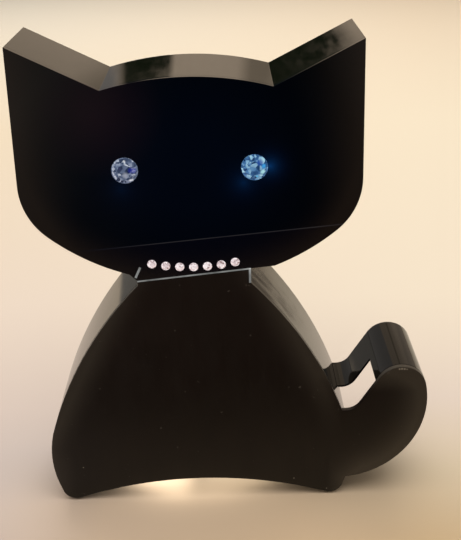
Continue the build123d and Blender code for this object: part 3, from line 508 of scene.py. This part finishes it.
def cut_crystal(name, stops, sparkle, glints=()):
    """Foil-backed cut stone with painted sparkle: each flat facet glows with its own share of light,
    painted glints where listed.
    """
    n = Nodes(name)
    snap = n.add("ShaderNodeVectorMath", operation="SNAP")
    n.feed(snap.inputs[0], n.add("ShaderNodeNewGeometry").outputs["True Normal"])
    snap.inputs[1].default_value = FACET_STEP
    patch = n.add("ShaderNodeTexVoronoi")
    n.feed(patch.inputs["Vector"], n.place())
    n.feed(patch.inputs["Scale"], STONE_PATCHES)
    moved = n.add("ShaderNodeVectorMath", operation="ADD")
    n.feed(moved.inputs[0], snap.outputs[0])
    n.feed(moved.inputs[1], patch.outputs["Color"])
    spark = n.add("ShaderNodeTexWhiteNoise", noise_dimensions="3D")
    n.feed(spark.inputs["Vector"], moved.outputs[0])
    share = n.math("ADD", n.times(spark.outputs["Value"], 0.55), n.times(n.noise(330, 2), 0.45))
    colour = n.ramp(share, *stops)
    glow = colour
    # painted glints on the stone
    for x, z, radius, tint in glints:
        away = n.away(x, z, FRONT_Y - STONE_PROUD)
        glow = n.mix(n.falling(away, radius * 0.4, radius), glow, tint)
    n.set(Base_Color=colour, Metallic=0.6, Roughness=0.12, IOR=1.6)
    n.set(Emission_Color=glow, Emission_Strength=sparkle)
    return n.material


def eye_stone(side):
    """Crystal of one eye, lit from behind, with painted sparkle and glints."""
    eye = centre_of(EYES[side])
    glints = [(eye.x + x, eye.z + z, radius, tint) for x, z, radius, tint in EYE_GLINTS[side]]
    return cut_crystal("eye_stone_" + side, EYE_STOPS[side], EYE_SPARKLE, glints)


def trim_painted_sheen():
    """Bright metal trim with a soft brushed variation along it, and a painted sheen that follows it."""
    n = Nodes("trim_painted_sheen")
    streak = n.noise(120, 2)
    n.set(Base_Color=n.shaded(((0.45, 0.45, 0.44), (0.75, 0.75, 0.74)), streak), Metallic=1.0)
    n.set(Roughness=n.spread(streak, NOISE_LOW, NOISE_HIGH, 0.12, 0.25))
    # painted sheen: the trim glows along its brushed variation
    n.set(Emission_Color=(0.85, 0.87, 0.85, 1),
          Emission_Strength=n.spread(streak, NOISE_LOW, NOISE_HIGH, 0.10, 0.34))
    return n.material


def blue_light():
    """Lit blue lamp behind an eye."""
    n = Nodes("blue_light")
    n.set(Base_Color=n.shaded(((0.4, 0.6, 0.9), (0.6, 0.8, 1.0)), n.noise(200, 2)))
    n.set(Roughness=0.1, Emission_Color=(0.05, 0.35, 1.0, 1), Emission_Strength=4.0)
    return n.material


def circuit_board():
    """Green solder mask with darker track lines."""
    n = Nodes("circuit_board")
    wave = n.add("ShaderNodeTexWave", wave_type="BANDS", bands_direction="DIAGONAL")
    n.feed(wave.inputs["Vector"], n.place())
    n.feed(wave.inputs["Scale"], 90.0)
    n.feed(wave.inputs["Distortion"], 6.0)
    tracks = n.ramp(wave.outputs["Fac"], (0.45, (0.008, 0.07, 0.025)), (0.55, (0.015, 0.13, 0.05)))
    n.set(Base_Color=tracks, Roughness=n.varied(0.25, 0.4, 200))
    return n.material


def cell_jacket():
    """Dark blue wrap of a cell, with paler clouds along it."""
    n = Nodes("cell_jacket")
    clouds = n.noise(30, 2, (1, 4, 4))
    n.set(Base_Color=n.ramp(clouds, (0.35, (0.02, 0.05, 0.10)), (0.65, (0.05, 0.10, 0.18))))
    n.set(Metallic=0.6, Roughness=n.varied(0.25, 0.4, 400, 2))
    return n.material


def make_materials():
    """One material for each slot that the record names."""
    materials = {
        "smoked_gloss": smoked_panel(),
        "satin_black": satin_black(),
        "gloss_black": piano_black("piano_black"),
        "trim_metal": trim_painted_sheen(),
        "crystal": cut_crystal("collar_stone", COLLAR_STOPS, COLLAR_SPARKLE),
        "led_blue": blue_light(),
        "board_green": circuit_board(),
        "cell_jacket": cell_jacket(),
    }
    for slot, look in MOULDED.items():
        materials[slot] = moulded(slot, *look)
    for slot, look in METALS.items():
        materials[slot] = metal(slot, *look)
    return materials


def paint_nodes(materials, slots):
    """Give every node its material; returns the material used on each."""
    chosen = {node: materials[slots[node]] for node in frame["nodes"]}
    chosen["body_shell"] = piano_black("body_gloss", streaked=True)
    for side in EYES:
        chosen[f"eye_crystal_{side}"] = eye_stone(side)
    for node, obj in frame["nodes"].items():
        obj.data.materials.clear()
        obj.data.materials.append(chosen[node])
    return chosen


# ---------------------------------------------------------------- pieces with softened edges
SHARP = math.radians(28)
FLAT = math.radians(0.5)
SAME_PLACE = 1e-6
BEVEL_STEPS = 2
EASED = {                      # node: width of the eased edge
    "head_panel": 0.25 * MM,
    "body_panel": 0.3 * MM,
    "head_shell": 0.3 * MM,
    "body_shell": 0.3 * MM,
    "tail_wall": 0.3 * MM,
}


def soften(node, width, material):
    """Make a copy of a CAD shell or panel with its sharp edges eased, standing for the node."""
    mesh = frame["nodes"][node].data.copy()
    mesh.materials.clear()
    mesh.materials.append(material)
    work = bmesh.new()
    work.from_mesh(mesh)
    bmesh.ops.remove_doubles(work, verts=work.verts, dist=SAME_PLACE)
    bmesh.ops.dissolve_limit(work, angle_limit=FLAT, verts=work.verts, edges=work.edges)
    edges = [e for e in work.edges if len(e.link_faces) == 2 and e.calc_face_angle() > SHARP]
    bmesh.ops.bevel(work, geom=edges, offset=width, segments=BEVEL_STEPS, profile=0.5,
                    affect="EDGES", clamp_overlap=True, harden_normals=False)
    for face in work.faces:
        face.smooth = True
    work.to_mesh(mesh)
    work.free()
    mesh.name = node + "_soft"
    piece = bpy.data.objects.new(node + "_soft", mesh)
    bpy.context.scene.collection.objects.link(piece)
    weights = piece.modifiers.new("normals", "WEIGHTED_NORMAL")
    weights.keep_sharp = True
    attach(piece, ROOT)
    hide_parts(node)


# ---------------------------------------------------------------- stage and light
def table_tone(n, across, along):
    """The table as the camera sees it: painted light and shade by distance, warmer on the +X side, a
    painted warm pool of light.
    """
    away = n.math("MAXIMUM", n.math("ADD", along, FLOOR_EYE[0]), 0.05)
    near = n.rising(n.math("DIVIDE", FLOOR_EYE[1], away), *FLOOR_STEEP)
    sideways = n.math("DIVIDE", across, n.math("MULTIPLY_ADD", away, *VIEW_WIDTH))
    side = n.rising(sideways, -VIEW_HALF, VIEW_HALF)
    lit = n.mix(side, n.ramp(near, *FLOOR_LEFT), n.ramp(near, *FLOOR_RIGHT))
    # painted pool of light on the table before the body
    pool = n.times(n.falling(n.off_axis(across), 0.05, 0.13), n.rising(along, -0.32, -0.14),
                   n.falling(along, -0.03, 0.02))
    return n.mix(n.times(pool, LIGHT_POOL_SHARE), lit, LIGHT_POOL_TONE)


def mirrored_tone(n, across, along, lit):
    """The table as polished faces see it: dark before the body and behind it on the left."""
    dim = n.mix(MIRROR_DIM, lit, grey(0.0))
    front = n.ramp(n.rising(across, -MIRROR_SPAN, MIRROR_SPAN), *FRONT_TONES)
    seen = n.mix(n.falling(along, -0.13, -0.05), dim, front)
    rear_left = n.times(n.falling(across, -0.16, -0.08), n.rising(along, 0.50, 0.56))
    return n.mix(rear_left, seen, REAR_LEFT_TONE)


def stage_floor():
    """Pale table, with its own tones for the camera and for the polished faces."""
    mesh = bpy.data.meshes.new("floor")
    corners = [(x * FLOOR_HALF, y * FLOOR_HALF, 0) for x, y in ((-1, -1), (1, -1), (1, 1), (-1, 1))]
    mesh.from_pydata(corners, [], [(0, 1, 2, 3)])
    floor = bpy.data.objects.new("floor", mesh)
    bpy.context.scene.collection.objects.link(floor)
    n = Nodes("floor")
    across, along, _ = n.split(n.place())
    lit = table_tone(n, across, along)
    seen = mirrored_tone(n, across, along, lit)
    ray = n.add("ShaderNodeLightPath")
    n.set(Base_Color=n.mix(ray.outputs["Is Glossy Ray"], lit, seen), Roughness=0.8)
    n.set(Specular_IOR_Level=0.2)
    mesh.materials.append(n.material)


def area_light(name, place, target, size, power, colour, depth=None):
    """A lamp that lights the scene but is not mirrored in it."""
    data = bpy.data.lights.new(name, "AREA")
    if depth:
        data.shape = "RECTANGLE"
        data.size_y = depth
    data.size = size
    data.energy = power
    data.color = colour
    lamp = bpy.data.objects.new(name, data)
    bpy.context.scene.collection.objects.link(lamp)
    lamp.location = place
    lamp.rotation_euler = (Vector(target) - Vector(place)).to_track_quat("-Z", "Y").to_euler()
    lamp.visible_glossy = False


def room_seen(n, x, y, z):
    """What polished faces mirror: pale wall behind, one dark thing in it, unlit front."""
    stops = [(height, (tone, tone * WALL_GREEN, tone * WALL_BLUE)) for height, tone in WALL_TONES]
    wall = n.ramp(n.rising(z, 0.0, 0.7), *stops)
    turn = n.math("DIVIDE", x, n.math("MAXIMUM", y, 0.05))
    edge = n.times(n.rising(turn, 0.08, 0.11), n.falling(turn, 0.14, 0.18))
    wall = n.mix(n.times(edge, 0.55), wall, WALL_EDGE)
    wall = n.mix(n.falling(turn, -0.205, -0.18), wall, LEFT_WALL)
    wall = n.mix(n.rising(turn, 0.35, 0.50), wall, RIGHT_WALL)
    band = n.math("MINIMUM", n.rising(turn, -0.195, -0.175), n.falling(turn, -0.082, -0.066))
    wall = n.mix(n.times(band, n.falling(z, 0.200, 0.225)), wall, DARK_THING)
    return n.mix(n.rising(y, -0.1, 0.25), UNLIT_FRONT, wall)


def paint_world():
    """A soft room that lights the scene; polished faces and the camera each see their own."""
    world = bpy.data.worlds.new("room")
    bpy.context.scene.world = world
    world.use_nodes = True
    n = Tree(world.node_tree)
    x, y, z = n.split(n.add("ShaderNodeTexCoord").outputs["Generated"])
    ray = n.add("ShaderNodeLightPath")
    soft = n.mix(n.rising(y, -1.0, 1.0), ROOM_FRONT, ROOM_BACK)
    colour = n.mix(ray.outputs["Is Glossy Ray"], soft, room_seen(n, x, y, z))
    colour = n.mix(ray.outputs["Is Camera Ray"], colour, BACKDROP)
    n.feed(n.tree.nodes["Background"].inputs["Color"], colour)


def light_scene():
    paint_world()
    for lamp in ROOM_LIGHTS:
        area_light(*lamp)
    for name, offset, width, power in ARCH_LIGHTS:
        x = HEAD_AXIS_X + offset
        area_light(name, (x, ARCH_LIGHT_Y, ARCH_LIGHT_HEIGHT), (x, ARCH_AIM_Y, 0), width, power,
                   ARCH_LIGHT_COLOUR, ARCH_LIGHT_DEPTH)


# ---------------------------------------------------------------- build
make_camera()
slots = {entry["node"]: entry["material_slot"] for entry in frame["record"]["subparts"]}
painted = paint_nodes(make_materials(), slots)
for shell_node, edge_width in EASED.items():
    soften(shell_node, edge_width, painted[shell_node])
stage_floor()
light_scene()
bpy.context.scene.view_settings.view_transform = "Standard"
